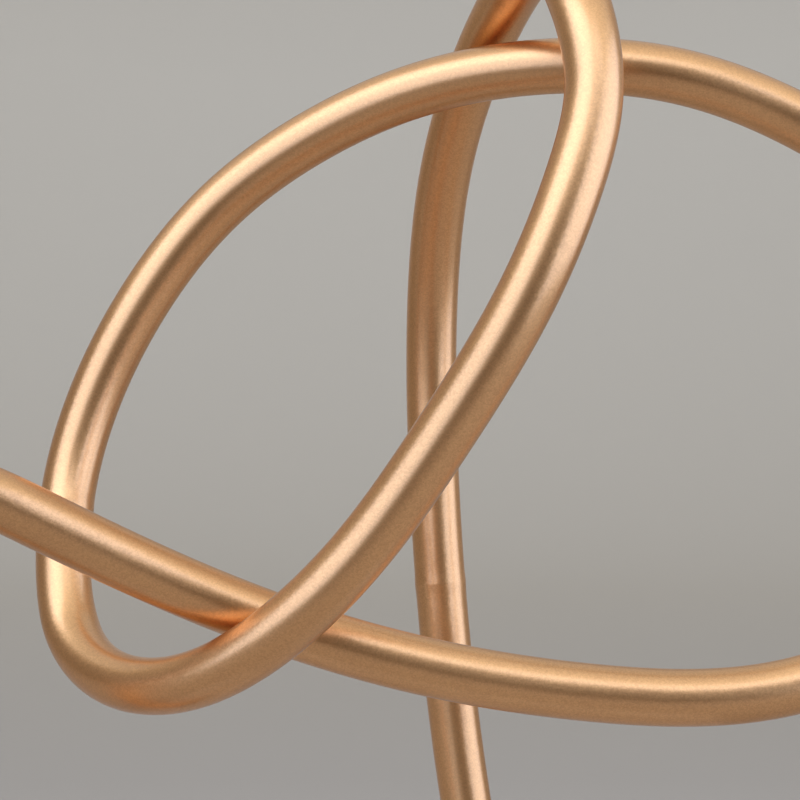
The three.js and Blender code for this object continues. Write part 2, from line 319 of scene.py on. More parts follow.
@dataclass(frozen=True)
class GreyMarble:
    """Grey marble, sawn, honed and waxed: cloudy calcite crossed by soft white veins."""

    grey: str = "#b9aea2"
    cloud: str = "#9d9388"
    vein: str = "#e5d9ca"
    roughness: float = 0.2
    refraction: float = 1.49
    # How the bed lies in the block: its turns, and its scale along each axis
    bed_turns: tuple[float, float, float] = (0.35, 0.5, 0.62)
    bed_scale: tuple[float, float, float] = (0.55, 1.7, 1.15)
    cloud_mm: float = 34.0
    cloud_detail: float = 6.0
    cloud_grain: float = 0.55
    # Each set of veins: its spacing in millimetres, its breadth as a share of that, and its strength
    veins: tuple[tuple[float, float, float], ...] = (
        (74.0, 0.016, 0.9),
        (31.0, 0.013, 0.55),
        (13.0, 0.02, 0.22),
    )
    vein_detail: float = 4.0
    vein_grain: float = 0.42
    vein_wander: float = 0.35
    # The broadest veins are rougher than the ground by this much
    vein_roughness: float = 0.1
    # Patches where veins fade: their share of the spacing, and the noise that hides and shows a vein
    patch_share: float = 0.5
    patch_detail: float = 3.0
    patch_hidden: float = 0.38
    patch_shown: float = 0.62

    def material(self) -> bpy.types.Material:
        """Builds the material.

        Returns:
            The marble.
        """
        material, tree = new_material("grey_marble")
        place = add_node(
            tree,
            "ShaderNodeMapping",
            {"Rotation": self.bed_turns, "Scale": self.bed_scale},
            {"Vector": add_node(tree, "ShaderNodeTexCoord").outputs["Object"]},
        ).outputs["Vector"]
        clouds = add_node(
            tree,
            "ShaderNodeTexNoise",
            {
                "Scale": per_metre(self.cloud_mm),
                "Detail": self.cloud_detail,
                "Roughness": self.cloud_grain,
            },
            {"Vector": place},
        )
        ground = add_node(
            tree,
            "ShaderNodeMix",
            {"data_type": "RGBA", MIX_A: linear(self.grey), MIX_B: linear(self.cloud)},
            {0: clouds.outputs["Fac"]},
        ).outputs[MIX_RESULT]
        drawn = []
        for spacing_mm, breadth, strength in self.veins:
            noise = add_node(
                tree,
                "ShaderNodeTexNoise",
                {
                    "Scale": per_metre(spacing_mm),
                    "Detail": self.vein_detail,
                    "Roughness": self.vein_grain,
                    "Distortion": self.vein_wander,
                },
                {"Vector": place},
            )
            patches = add_node(
                tree,
                "ShaderNodeTexNoise",
                {"Scale": per_metre(spacing_mm * self.patch_share), "Detail": self.patch_detail},
                {"Vector": place},
            )
            patchy = add_node(
                tree,
                "ShaderNodeMapRange",
                {
                    "interpolation_type": "SMOOTHSTEP",
                    "From Min": self.patch_hidden,
                    "From Max": self.patch_shown,
                },
                {"Value": patches.outputs["Fac"]},
            )
            middle = add_node(
                tree,
                "ShaderNodeMath",
                {"operation": "SUBTRACT", 1: 0.5},
                {0: noise.outputs["Fac"]},
            )
            distance = add_node(
                tree,
                "ShaderNodeMath",
                {"operation": "ABSOLUTE"},
                {0: middle.outputs["Value"]},
            )
            line = add_node(
                tree,
                "ShaderNodeMapRange",
                {
                    "interpolation_type": "SMOOTHSTEP",
                    "From Max": breadth,
                    "To Min": strength,
                    "To Max": 0.0,
                },
                {"Value": distance.outputs["Value"]},
            )
            faded = add_node(
                tree,
                "ShaderNodeMath",
                {"operation": "MULTIPLY"},
                {0: line.outputs["Result"], 1: patchy.outputs["Result"]},
            )
            ground = add_node(
                tree,
                "ShaderNodeMix",
                {"data_type": "RGBA", MIX_B: linear(self.vein)},
                {0: faded.outputs["Value"], MIX_A: ground},
            ).outputs[MIX_RESULT]
            drawn.append(faded.outputs["Value"])
        rough = add_node(
            tree,
            "ShaderNodeMapRange",
            {"To Min": self.roughness, "To Max": self.roughness + self.vein_roughness},
            {"Value": drawn[0]},
        )
        shader = add_node(
            tree,
            "ShaderNodeBsdfPrincipled",
            {"IOR": self.refraction},
            {"Base Color": ground, "Roughness": rough.outputs["Result"]},
        )
        add_node(tree, "ShaderNodeOutputMaterial", None, {"Surface": shader.outputs["BSDF"]})
        return material


@dataclass(frozen=True)
class BlackRubber:
    """Black rubber sheet, calendered: matte, with a fine pebble."""

    dark: str = "#1f1e1e"
    light: str = "#31302f"
    roughness: float = 0.78
    refraction: float = 1.52
    pebble_mm: float = 0.9
    pebble_detail: float = 3.0
    pebble_height: float = 0.1 * MM
    pebble_strength: float = 0.4

    def material(self) -> bpy.types.Material:
        """Builds the material.

        Returns:
            The rubber.
        """
        material, tree = new_material("black_rubber")
        pebble = add_node(
            tree,
            "ShaderNodeTexNoise",
            {"Scale": per_metre(self.pebble_mm), "Detail": self.pebble_detail},
            {"Vector": add_node(tree, "ShaderNodeTexCoord").outputs["Object"]},
        )
        colour = add_node(
            tree,
            "ShaderNodeMix",
            {"data_type": "RGBA", MIX_A: linear(self.dark), MIX_B: linear(self.light)},
            {0: pebble.outputs["Fac"]},
        )
        bump = add_node(
            tree,
            "ShaderNodeBump",
            {"Strength": self.pebble_strength, "Distance": self.pebble_height},
            {"Height": pebble.outputs["Fac"]},
        )
        shader = add_node(
            tree,
            "ShaderNodeBsdfPrincipled",
            {"Roughness": self.roughness, "IOR": self.refraction},
            {"Base Color": colour.outputs[MIX_RESULT], "Normal": bump.outputs["Normal"]},
        )
        add_node(tree, "ShaderNodeOutputMaterial", None, {"Surface": shader.outputs["BSDF"]})
        return material


@dataclass(frozen=True)
class Steel:
    """Steel, turned or rolled: a grey metal with fine tool marks round its axis."""

    name: str
    dark: str
    light: str
    roughness: float
    mark_mm: float
    # How far the marks wander and move the roughness either way
    mark_wander: float = 2.0
    mark_detail: float = 2.0
    mark_roughness: float = 0.06

    def material(self) -> bpy.types.Material:
        """Builds the material.

        Returns:
            The steel.
        """
        material, tree = new_material(self.name)
        marks = add_node(
            tree,
            "ShaderNodeTexWave",
            {
                "bands_direction": "Z",
                "Scale": per_metre(self.mark_mm) / WAVE_BANDS,
                "Distortion": self.mark_wander,
                "Detail": self.mark_detail,
            },
            {"Vector": add_node(tree, "ShaderNodeTexCoord").outputs["Object"]},
        )
        colour = add_node(
            tree,
            "ShaderNodeMix",
            {"data_type": "RGBA", MIX_A: linear(self.dark), MIX_B: linear(self.light)},
            {0: marks.outputs["Fac"]},
        )
        rough = add_node(
            tree,
            "ShaderNodeMapRange",
            {
                "To Min": self.roughness - self.mark_roughness,
                "To Max": self.roughness + self.mark_roughness,
            },
            {"Value": marks.outputs["Fac"]},
        )
        shader = add_node(
            tree,
            "ShaderNodeBsdfPrincipled",
            {"Metallic": 1.0},
            {"Base Color": colour.outputs[MIX_RESULT], "Roughness": rough.outputs["Result"]},
        )
        add_node(tree, "ShaderNodeOutputMaterial", None, {"Surface": shader.outputs["BSDF"]})
        return material


@dataclass(frozen=True)
class BackdropPaper:
    """Warm grey studio paper, dead matte, with painted shade: darker low on the sweep, paler up the wall
    and deepest in front under the camera.
    """

    # Painted shade: the paper is darker low on the sweep, paler up the wall and deepest in front under the
    # camera
    shade: str = "#6a5c50"
    dark: str = "#a99d90"
    light: str = "#d3c9bd"
    roughness: float = 0.95
    gloss: float = 0.1
    # Where along the sweep, back and up, the painted shade starts to lighten and where it ends
    dark_end: float = 0.45
    light_end: float = 2.6
    # Where in front the painted shade is deepest and where it ends; it stays low on the front wall
    shade_end: float = -0.7
    shade_start: float = -0.22
    shade_climb: float = 8.0

    def material(self) -> bpy.types.Material:
        """Builds the material.

        Returns:
            The paper.
        """
        material, tree = new_material("backdrop_paper")
        place = add_node(tree, "ShaderNodeTexCoord").outputs["Object"]
        along = add_node(
            tree,
            "ShaderNodeVectorMath",
            {"operation": "DOT_PRODUCT", 1: (0.0, 1.0, 1.0)},
            {0: place},
        )
        # Painted shade: darkens the paper low on the sweep and lightens it up the wall, where the light
        # falls off
        painted_shade_grade = add_node(
            tree,
            "ShaderNodeMapRange",
            {"From Min": self.dark_end, "From Max": self.light_end},
            {"Value": along.outputs["Value"]},
        )
        colour = add_node(
            tree,
            "ShaderNodeMix",
            {"data_type": "RGBA", MIX_A: linear(self.dark), MIX_B: linear(self.light)},
            {0: painted_shade_grade.outputs["Result"]},
        )
        # Painted shade in front, under the camera, where the light falls off
        front = add_node(
            tree,
            "ShaderNodeVectorMath",
            {"operation": "DOT_PRODUCT", 1: (0.0, 1.0, self.shade_climb)},
            {0: place},
        )
        clear = add_node(
            tree,
            "ShaderNodeMapRange",
            {
                "interpolation_type": "SMOOTHSTEP",
                "From Min": self.shade_end,
                "From Max": self.shade_start,
            },
            {"Value": front.outputs["Value"]},
        )
        painted_shade_mix = add_node(
            tree,
            "ShaderNodeMix",
            {"data_type": "RGBA", MIX_A: linear(self.shade)},
            {0: clear.outputs["Result"], MIX_B: colour.outputs[MIX_RESULT]},
        )
        shader = add_node(
            tree,
            "ShaderNodeBsdfPrincipled",
            {"Roughness": self.roughness, "Specular IOR Level": self.gloss},
            {"Base Color": painted_shade_mix.outputs[MIX_RESULT]},
        )
        add_node(tree, "ShaderNodeOutputMaterial", None, {"Surface": shader.outputs["BSDF"]})
        return material


def finished_piece(bm: bmesh.types.BMesh, name: str) -> bpy.types.Object:
    """Turns a bmesh into an object at the origin with smooth faces and crisp edges.

    Args:
        bm: Finished mesh, which is freed.
        name: Object name.

    Returns:
        The object, in the scene.
    """
    mesh = bpy.data.meshes.new(name)
    for face in bm.faces:
        face.smooth = True
    bm.to_mesh(mesh)
    bm.free()
    mesh.set_sharp_from_angle(angle=math.radians(SHARP_DEGREES))
    piece = bpy.data.objects.new(name, mesh)
    bpy.context.scene.collection.objects.link(piece)
    return piece


@dataclass(frozen=True)
class Finishes:
    """One material for each of the record's slots."""

    materials: dict[Slot, bpy.types.Material]

    @classmethod
    def mixed(cls) -> "Finishes":
        """Makes every finish.

        Returns:
            The finishes by slot.
        """
        zinc = Steel("zinc_plated_steel", "#a6a9ad", "#c3c6c9", roughness=0.36, mark_mm=0.8)
        turned = Steel("turned_steel", "#7f8286", "#a0a2a5", roughness=0.46, mark_mm=0.4)
        return cls({
            Slot.GOLD: GoldLacquer().material(),
            Slot.MARBLE: GreyMarble().material(),
            Slot.RUBBER: BlackRubber().material(),
            Slot.ZINC: zinc.material(),
            Slot.TURNED: turned.material(),
        })

    def dress(self, bm: bmesh.types.BMesh, name: str, slot: Slot, node: str) -> None:
        """Makes a mesh the dressed piece that stands for a CAD node.

        Args:
            bm: Finished mesh, which is freed.
            name: Name of the piece.
            slot: Slot that the piece takes its finish from.
            node: Node that the piece replaces.
        """
        piece = finished_piece(bm, name)
        piece.data.materials.append(self.materials[slot])
        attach(piece, BODY)
        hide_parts(node)
        LOG.info("%s: %d faces for %s", piece.name, len(piece.data.polygons), node)


def boundary(bm: bmesh.types.BMesh) -> list[bmesh.types.BMEdge]:
    """Lists the open edges of a mesh."""
    return [edge for edge in bm.edges if edge.is_boundary]


def seat(low: Vector, high: Vector) -> Vector:
    """Gives the middle of a box's lower face."""
    return Vector(((low.x + high.x) / 2, (low.y + high.y) / 2, low.z))


def round_edges(
    bm: bmesh.types.BMesh, edges: list[bmesh.types.BMEdge], radius: float, segments: int
) -> None:
    """Bevels edges to an arc.

    Args:
        bm: Mesh that holds the edges.
        edges: Edges to bevel.
        radius: Radius of the arc.
        segments: Facets of the arc.
    """
    bmesh.ops.bevel(
        bm,
        geom=edges,
        offset=radius,
        segments=segments,
        profile=0.5,
        affect="EDGES",
        material=-1,
    )


def eased_block(low: Vector, high: Vector, corner_radius: float, eased_edge: float) -> bmesh.types.BMesh:
    """Makes a block with round corners and eased edges.

    Args:
        low: Lowest corner.
        high: Highest corner.
        corner_radius: Radius of its upright corners.
        eased_edge: Radius of its upper and lower edges.

    Returns:
        The block.
    """
    bm = bmesh.new()
    size = high - low
    place = Matrix.Translation((low + high) / 2) @ Matrix.Diagonal(size).to_4x4()
    bmesh.ops.create_cube(bm, size=1.0, matrix=place)
    upright = [edge for edge in bm.edges if abs(edge.verts[0].co.z - edge.verts[1].co.z) > size.z / 2]
    round_edges(bm, upright, corner_radius, CORNER_SEGMENTS)
    rims = [edge for edge in bm.edges if any(abs(face.normal.z) > LEVEL for face in edge.link_faces)]
    round_edges(bm, rims, eased_edge, EASE_SEGMENTS)
    return bm


def start_ring(
    bm: bmesh.types.BMesh, place: Matrix, radius: float, sides: int
) -> list[bmesh.types.BMEdge]:
    """Starts a ring of edges whose place gives its middle and its turn."""
    verts = bmesh.ops.create_circle(bm, segments=sides, radius=radius, matrix=place)["verts"]
    return list(dict.fromkeys(edge for vert in verts for edge in vert.link_edges))


def grow_ring(
    bm: bmesh.types.BMesh, ring: list[bmesh.types.BMEdge]
) -> tuple[list[bmesh.types.BMVert], list[bmesh.types.BMEdge]]:
    """Extrudes a ring of edges without moving it.

    Args:
        bm: Mesh that holds the ring.
        ring: Edges to extrude.

    Returns:
        The new ring's vertices and edges.
    """
    made = bmesh.ops.extrude_edge_only(bm, edges=ring)["geom"]
    verts = [item for item in made if isinstance(item, bmesh.types.BMVert)]
    edges = [item for item in made if isinstance(item, bmesh.types.BMEdge)]
    fresh = set(verts)
    return verts, [edge for edge in edges if fresh.issuperset(edge.verts)]


def turn_ring(
    bm: bmesh.types.BMesh,
    ring: list[bmesh.types.BMEdge],
    steps: list[tuple[float, float]],
    axis: Vector,
) -> list[bmesh.types.BMEdge]:
    """Draws a ring of edges through turned steps.

    Args:
        bm: Mesh that holds the ring.
        ring: Edges of a level ring about the axis.
        steps: Radius factor and rise of each step, from the one before.
        axis: Point on the upright axis.

    Returns:
        The last ring's edges.
    """
    for factor, rise in steps:
        verts, ring = grow_ring(bm, ring)
        bmesh.ops.scale(bm, vec=(factor, factor, 1.0), space=Matrix.Translation(-axis), verts=verts)
        bmesh.ops.translate(bm, vec=(0.0, 0.0, rise), verts=verts)
    return ring


def turned_steps(profile: list[tuple[float, float]]) -> list[tuple[float, float]]:
    """Turns a profile of radii and heights into each step's radius factor and rise."""
    return [(r1 / r0, z1 - z0) for (r0, z0), (r1, z1) in zip(profile, profile[1:])]


@dataclass(frozen=True)
class Ring:
    """One round slice of the tube: where it is and how it is turned."""

    point: Vector
    along: Vector
    side: Vector
    bend: Vector

    # Share of what the slice loses across its bend that it gains in width
    WIDENING = 0.6

    def matrix(self, swell: float, flatten: float) -> Matrix:
        """Gives the place of a unit circle that is drawn as this slice.

        Args:
            swell: Factor on the whole slice.
            flatten: Share by which the slice is pressed flat across its bend.

        Returns:
            The slice's matrix.
        """
        across = self.along.cross(self.side)
        turn = Matrix((self.side, across, self.along)).transposed()
        inward = self.bend.normalized() if self.bend.length > 0 else self.side
        level = self.along.cross(inward)
        squeeze = Matrix.Identity(3)
        for i in range(3):
            for j in range(3):
                squeeze[i][j] -= flatten * inward[i] * inward[j]
                squeeze[i][j] += self.WIDENING * flatten * level[i] * level[j]
        return Matrix.Translation(self.point) @ (squeeze @ turn * swell).to_4x4()


class Centreline:
    """Smooth line through the middle of the tube, foot to foot, measured along its length."""

    STEPS_PER_SPAN = 60
    EVEN_STEP = 0.5 * MM
    # Stretch that the bend is averaged over
    BEND_WINDOW = 10 * MM

    def __init__(self, rear_foot: Vector, front_foot: Vector, marble_top: float, leg_rise: float) -> None:
        """Draws the line.

        Args:
            rear_foot: Seat of the rear leg.
            front_foot: Seat of the front leg.
            marble_top: Height of the marble's top face.
            leg_rise: Height of each straight leg over the marble.
        """
        rear_top = (rear_foot.x, rear_foot.y, marble_top + leg_rise)
        front_top = (front_foot.x, front_foot.y, marble_top + leg_rise)
        between = np.array(ROUTE_MM) * MM + (0.0, 0.0, marble_top)
        knots = np.vstack([rear_top, between, front_top])
        curve = self.smooth_curve(knots, np.array((0.0, 0.0, 1.0)), np.array((0.0, 0.0, -1.0)))
        self.points = np.vstack([rear_foot, curve, front_foot])
        lengths = np.linalg.norm(np.diff(self.points, axis=0), axis=1)
        self.stations = np.concatenate([[0.0], np.cumsum(lengths)])
        self.length = float(self.stations[-1])
        self.even = np.linspace(0.0, self.length, int(self.length / self.EVEN_STEP) + 1)
        self.along, self.side, self.bend = self.frames()

    def smooth_curve(self, knots: np.ndarray, start: np.ndarray, end: np.ndarray) -> np.ndarray:
        """Draws the cubic spline through knots whose bend changes evenly at each of them.

        Args:
            knots: Points to pass through.
            start: Direction at the first knot.
            end: Direction at the last knot.

        Returns:
            Close points on the curve.
        """
        count = len(knots)
        spans = np.linalg.norm(np.diff(knots, axis=0), axis=1)
        chords = np.diff(knots, axis=0) / spans[:, None]
        system = np.eye(count)
        pulls = np.vstack([start, np.zeros((count - 2, 3)), end])
        for i in range(1, count - 1):
            before, after = spans[i - 1], spans[i]
            system[i, i - 1:i + 2] = after, 2 * (before + after), before
            pulls[i] = 3 * (after * chords[i - 1] + before * chords[i])
        slopes = np.linalg.solve(system, pulls)
        u = np.linspace(0.0, 1.0, self.STEPS_PER_SPAN, endpoint=False)[:, None]
        v = 1 - u
        curve = [
            v * v * (1 + 2 * u) * knots[i]
            + v * v * u * spans[i] * slopes[i]
            - u * u * v * spans[i] * slopes[i + 1]
            + u * u * (1 + 2 * v) * knots[i + 1]
            for i in range(count - 1)
        ]
        return np.vstack([*curve, knots[-1:]])

    def at(self, values: np.ndarray, distance: float) -> Vector:
        """Reads evenly spaced values at a distance along the tube."""
        return Vector([float(np.interp(distance, self.even, values[:, i])) for i in range(3)])

    def frames(self) -> tuple[np.ndarray, np.ndarray, np.ndarray]:
        """Works out the direction, an untwisted side and the bend all along the tube.

        Returns:
            Unit directions, unit sides and bends (one over the radius, towards the centre).
        """
        spots = np.column_stack([np.interp(self.even, self.stations, self.points[:, i]) for i in range(3)])
        step = self.even[1]
        along = np.gradient(spots, step, axis=0)
        along /= np.linalg.norm(along, axis=1)[:, None]
        window = int(self.BEND_WINDOW / step) | 1
        weights = np.hanning(window + 2)[1:-1]
        raw = np.gradient(along, step, axis=0)
        bend = np.column_stack([np.convolve(raw[:, i], weights / weights.sum(), "same") for i in range(3)])
        side = np.zeros_like(along)
        side[0] = (1.0, 0.0, 0.0)
        for i in range(1, len(along)):
            carried = side[i - 1] - side[i - 1].dot(along[i]) * along[i]
            side[i] = carried / np.linalg.norm(carried)
        bend -= (bend * along).sum(axis=1)[:, None] * along
        return along, side, bend

    def ring(self, distance: float) -> Ring:
        """Gives the slice at a distance along the tube.

        Args:
            distance: Distance from the rear foot.

        Returns:
            The slice.
        """
        point = Vector([float(np.interp(distance, self.stations, self.points[:, i])) for i in range(3)])
        along = self.at(self.along, distance).normalized()
        side = self.at(self.side, distance)
        side = (side - side.dot(along) * along).normalized()
        return Ring(point, along, side, self.at(self.bend, distance))


@dataclass
class LoopTube:
    """The gold tube: bent sections, butt-welded over spigots, ground flush and lacquered."""

    diameter: float = 10 * MM
    wall: float = 1.2 * MM
    spigot_length: float = 20 * MM
    spigot_clearance: float = 0.3 * MM
    leg_rise: float = 4 * MM
    # How far a bend presses the tube flat: this share times the square of tube radius over bend radius
    flattening: float = 1.7
    most_flattening: float = 0.17
    # Ground weld: what is left of the bead under the lacquer
    bead_height: float = 0.1 * MM
    bead_reach: float = 1.5 * MM
    sides: int = 48
    ring_spacing: float = 1.0 * MM
    line: Centreline = field(init=False)
    welds: list[float] = field(init=False)

    def __post_init__(self) -> None:
        """Draws the centreline and finds the welds."""
        rear_foot, front_foot = (seat(*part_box(f"{leg.value}_plug")) for leg in Leg)
        marble_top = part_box("marble_base")[1].z
        self.line = Centreline(rear_foot, front_foot, marble_top, self.leg_rise)
        per_share = self.line.length / sum(section.share for section in Section)
        ends = np.cumsum([section.share for section in Section]) * per_share
        self.welds = [float(end) for end in ends[:-1]]

    def slice_matrix(self, distance: float) -> Matrix:
        """Gives the tube's slice at a distance, with its flattening and any weld bead.

        Args:
            distance: Distance from the rear foot.

        Returns:
            The matrix of a unit circle there.
        """
        ring = self.line.ring(distance)
        tightness = ring.bend.length * self.diameter / 2
        flatten = min(self.flattening * tightness**2, self.most_flattening)
        bead = sum(math.exp(-(((distance - weld) / self.bead_reach) ** 2)) for weld in self.welds)
        return ring.matrix(1 + bead * self.bead_height / (self.diameter / 2), flatten)

    def swept(self, start: float, end: float, radius: float) -> bmesh.types.BMesh:
        """Sweeps a circle along a stretch of the tube.

        Args:
            start: Where the stretch starts.
            end: Where the stretch ends.
            radius: Radius of the circle.

        Returns:
            The open skin.
        """
        count = max(2, round((end - start) / self.ring_spacing))
        places = [self.slice_matrix(start + (end - start) * i / count) for i in range(count + 1)]
        bm = bmesh.new()
        ring = start_ring(bm, places[0], radius, self.sides)
        for before, after in zip(places, places[1:]):
            verts, ring = grow_ring(bm, ring)
            bmesh.ops.transform(bm, matrix=after @ before.inverted(), verts=verts)
        return bm

    def build(self, finishes: Finishes) -> None:
        """Makes the tube sections and the spigots inside their welds.

        Args:
            finishes: Finishes to dress the pieces with.
        """
        cuts = [0.0, *self.welds, self.line.length]
        for section, start, end in zip(Section, cuts, cuts[1:]):
            bm = self.swept(start, end, self.diameter / 2)
            bmesh.ops.recalc_face_normals(bm, faces=bm.faces[:])
            bmesh.ops.solidify(bm, geom=bm.faces[:], thickness=self.wall)
            finishes.dress(bm, f"gold_{section.title}", Slot.GOLD, f"{section.title}_tube")
        for section, weld in zip(Section, self.welds):
            self.build_spigot(section, weld, finishes)

    def build_spigot(self, section: Section, weld: float, finishes: Finishes) -> None:
        """Makes the rod that lines up one weld.

        Args:
            section: Section that ends at the weld.
            weld: Distance of the weld from the rear foot.
            finishes: Finishes to dress the rod with.
        """
        radius = self.diameter / 2 - self.wall - self.spigot_clearance
        bm = self.swept(weld - self.spigot_length / 2, weld + self.spigot_length / 2, radius)
        bmesh.ops.holes_fill(bm, edges=boundary(bm), sides=self.sides)
        bmesh.ops.recalc_face_normals(bm, faces=bm.faces[:])
        finishes.dress(bm, f"steel_{section.title}_spigot", Slot.TURNED, f"{section.title}_spigot")


@dataclass
class MarbleBlock:
    """The marble block, its two leg recesses and the stepped screw holes below them."""

    corner_radius: float = 4 * MM
    eased_edge: float = 1.2 * MM
    recess_radius: float = 5.3 * MM
    recess_depth: float = 8 * MM
    mouth_chamfer: float = 0.25 * MM
    screw_hole_radius: float = 2.5 * MM
    counterbore_radius: float = 5 * MM
    counterbore_depth: float = 9.7 * MM
    hole_sides: int = 48

    def build(self, finishes: Finishes) -> None:
        """Makes the block.

        Args:
            finishes: Finishes to dress the block with.
        """
        low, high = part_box("marble_base")
        bm = eased_block(low, high, self.corner_radius, self.eased_edge)
        level = [face for face in bm.faces if abs(face.normal.z) > LEVEL]
        bmesh.ops.delete(bm, geom=level, context="FACES_ONLY")
        for leg in Leg:
            self.drill(bm, seat(*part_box(f"{leg.value}_plug")), low.z, high.z)
        for height in (low.z, high.z):
            rims = [
                edge
                for edge in boundary(bm)
                if all(abs(vert.co.z - height) < TOUCH for vert in edge.verts)
            ]
            bmesh.ops.triangle_fill(bm, edges=rims, use_beauty=True)
        bmesh.ops.recalc_face_normals(bm, faces=bm.faces[:])
        finishes.dress(bm, "marble_block", Slot.MARBLE, "marble_base")

    def drill(self, bm: bmesh.types.BMesh, axis: Vector, bottom: float, top: float) -> None:
        """Adds the walls of one leg's recess, screw hole and counterbore.

        Args:
            bm: Block with its top and bottom faces taken off.
            axis: Point on the hole's axis.
            bottom: Height of the block's underside.
            top: Height of the block's top.
        """
        mouth = self.recess_radius + self.mouth_chamfer
        floor = top - self.recess_depth
        ceiling = bottom + self.counterbore_depth
        place = Matrix.Translation((axis.x, axis.y, top))
        ring = start_ring(bm, place, mouth, self.hole_sides)
        profile = [
            (mouth, top),
            (self.recess_radius, top - self.mouth_chamfer),
            (self.recess_radius, floor),
            (self.screw_hole_radius, floor),
            (self.screw_hole_radius, ceiling),
            (self.counterbore_radius, ceiling),
            (self.counterbore_radius, bottom),
        ]
        turn_ring(bm, ring, turned_steps(profile), axis)


@dataclass
class RubberPad:
    """The rubber sheet under the block."""

    corner_radius: float = 4 * MM
    soft_edge: float = 0.5 * MM

    def build(self, finishes: Finishes) -> None:
        """Makes the pad.

        Args:
            finishes: Finishes to dress the pad with.
        """
        low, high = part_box("base_pad")
        bm = eased_block(low, high, self.corner_radius, self.soft_edge)
        finishes.dress(bm, "rubber_pad", Slot.RUBBER, "base_pad")


@dataclass
class LegFasteners:
    """What holds one leg: a plug in the tube, and a screw with two washers from below."""

    leg: Leg
    head_height: float = 4 * MM
    shank_radius: float = 2 * MM
    socket_radius: float = 1.73 * MM
    socket_depth: float = 2 * MM
    socket_sides: int = 6
    # Broken edges, which take no more than this share of a thin ring's height
    edge_break: float = 0.3 * MM
    most_break: float = 0.25
    tip_chamfer: float = 0.5 * MM
    bore_radius: float = 2.25 * MM
    split_degrees: float = 14.0
    spring_rise: float = 0.1 * MM
    sides: int = 32

    def build(self, finishes: Finishes) -> None:
        """Makes the four pieces.

        Args:
            finishes: Finishes to dress them with.
        """
        name = self.leg.value
        pieces = (
            ("screw", self.screw(*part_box(f"{name}_screw")), Slot.ZINC),
            ("flat_washer", self.ring_piece(*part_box(f"{name}_flat_washer")), Slot.ZINC),
            ("lock_washer", self.lock_washer(*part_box(f"{name}_lock_washer")), Slot.ZINC),
            ("plug", self.ring_piece(*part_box(f"{name}_plug")), Slot.TURNED),
        )
        for title, bm, slot in pieces:
            bmesh.ops.recalc_face_normals(bm, faces=bm.faces[:])
            finishes.dress(bm, f"steel_{name}_{title}", slot, f"{name}_{title}")

    def screw(self, low: Vector, high: Vector) -> bmesh.types.BMesh:
        """Makes the socket-head screw, head down.

        Args:
            low: Lowest corner of its CAD solid.
            high: Highest corner of its CAD solid.

        Returns:
            The screw.
        """
        bm = bmesh.new()
        axis = seat(low, high)
        place = Matrix.Translation(axis)
        radius = (high.x - low.x) / 2
        face_radius = radius - self.edge_break
        rim = start_ring(bm, place, face_radius, self.sides)
        socket = start_ring(bm, place, self.socket_radius, self.socket_sides)
        bmesh.ops.bridge_loops(bm, edges=rim + socket)
        floor = turn_ring(bm, socket, [(1.0, self.socket_depth)], axis)
        bmesh.ops.holes_fill(bm, edges=floor, sides=self.socket_sides)
        top = low.z + self.head_height
        profile = [
            (face_radius, low.z),
            (radius, low.z + self.edge_break),
            (radius, top),
            (self.shank_radius, top),
            (self.shank_radius, high.z - self.tip_chamfer),
            (self.shank_radius - self.tip_chamfer, high.z),
        ]
        tip = turn_ring(bm, rim, turned_steps(profile), axis)
        bmesh.ops.holes_fill(bm, edges=tip, sides=self.sides)
        return bm

    def ring_piece(self, low: Vector, high: Vector) -> bmesh.types.BMesh:
        """Makes a bored ring with broken edges, such as a flat washer or a plug.

        Args:
            low: Lowest corner of its CAD solid.
            high: Highest corner of its CAD solid.

        Returns:
            The ring.
        """
        bm = bmesh.new()
        axis = seat(low, high)
        outer = (high.x - low.x) / 2
        broken = min(self.edge_break, self.most_break * (high.z - low.z))
        ring = start_ring(bm, Matrix.Translation(axis), self.bore_radius, self.sides)
        profile = [
            (self.bore_radius, low.z),
            (outer - broken, low.z),
            (outer, low.z + broken),
            (outer, high.z - broken),
            (outer - broken, high.z),
            (self.bore_radius, high.z),
            (self.bore_radius, low.z),
        ]
        turn_ring(bm, ring, turned_steps(profile), axis)
        bmesh.ops.remove_doubles(bm, verts=bm.verts[:], dist=TOUCH)
        return bm

    def lock_washer(self, low: Vector, high: Vector) -> bmesh.types.BMesh:
        """Makes the split spring washer.

        Args:
            low: Lowest corner of its CAD solid.
            high: Highest corner of its CAD solid.

        Returns:
            The washer.
        """
        bm = bmesh.new()
        axis = seat(low, high)
        outer = (high.x - low.x) / 2
        top = high.z - low.z - self.spring_rise
        corners = [(self.bore_radius, 0.0), (outer, 0.0), (outer, top), (self.bore_radius, top)]
        verts = [bm.verts.new(axis + Vector((radius, 0.0, rise))) for radius, rise in corners]
        edges = [bm.edges.new((verts[i - 1], verts[i])) for i in range(len(verts))]
        half_split = math.radians(self.split_degrees) / 2
        bmesh.ops.rotate(bm, cent=axis, matrix=Matrix.Rotation(half_split, 3, "Z"), verts=verts)
        bmesh.ops.spin(
            bm,
            geom=edges,
            cent=axis,
            axis=(0.0, 0.0, 1.0),
            dvec=(0.0, 0.0, self.spring_rise / self.sides),
            angle=math.tau - 2 * half_split,
            steps=self.sides,
        )
        bmesh.ops.holes_fill(bm, edges=boundary(bm), sides=len(corners))
        return bm


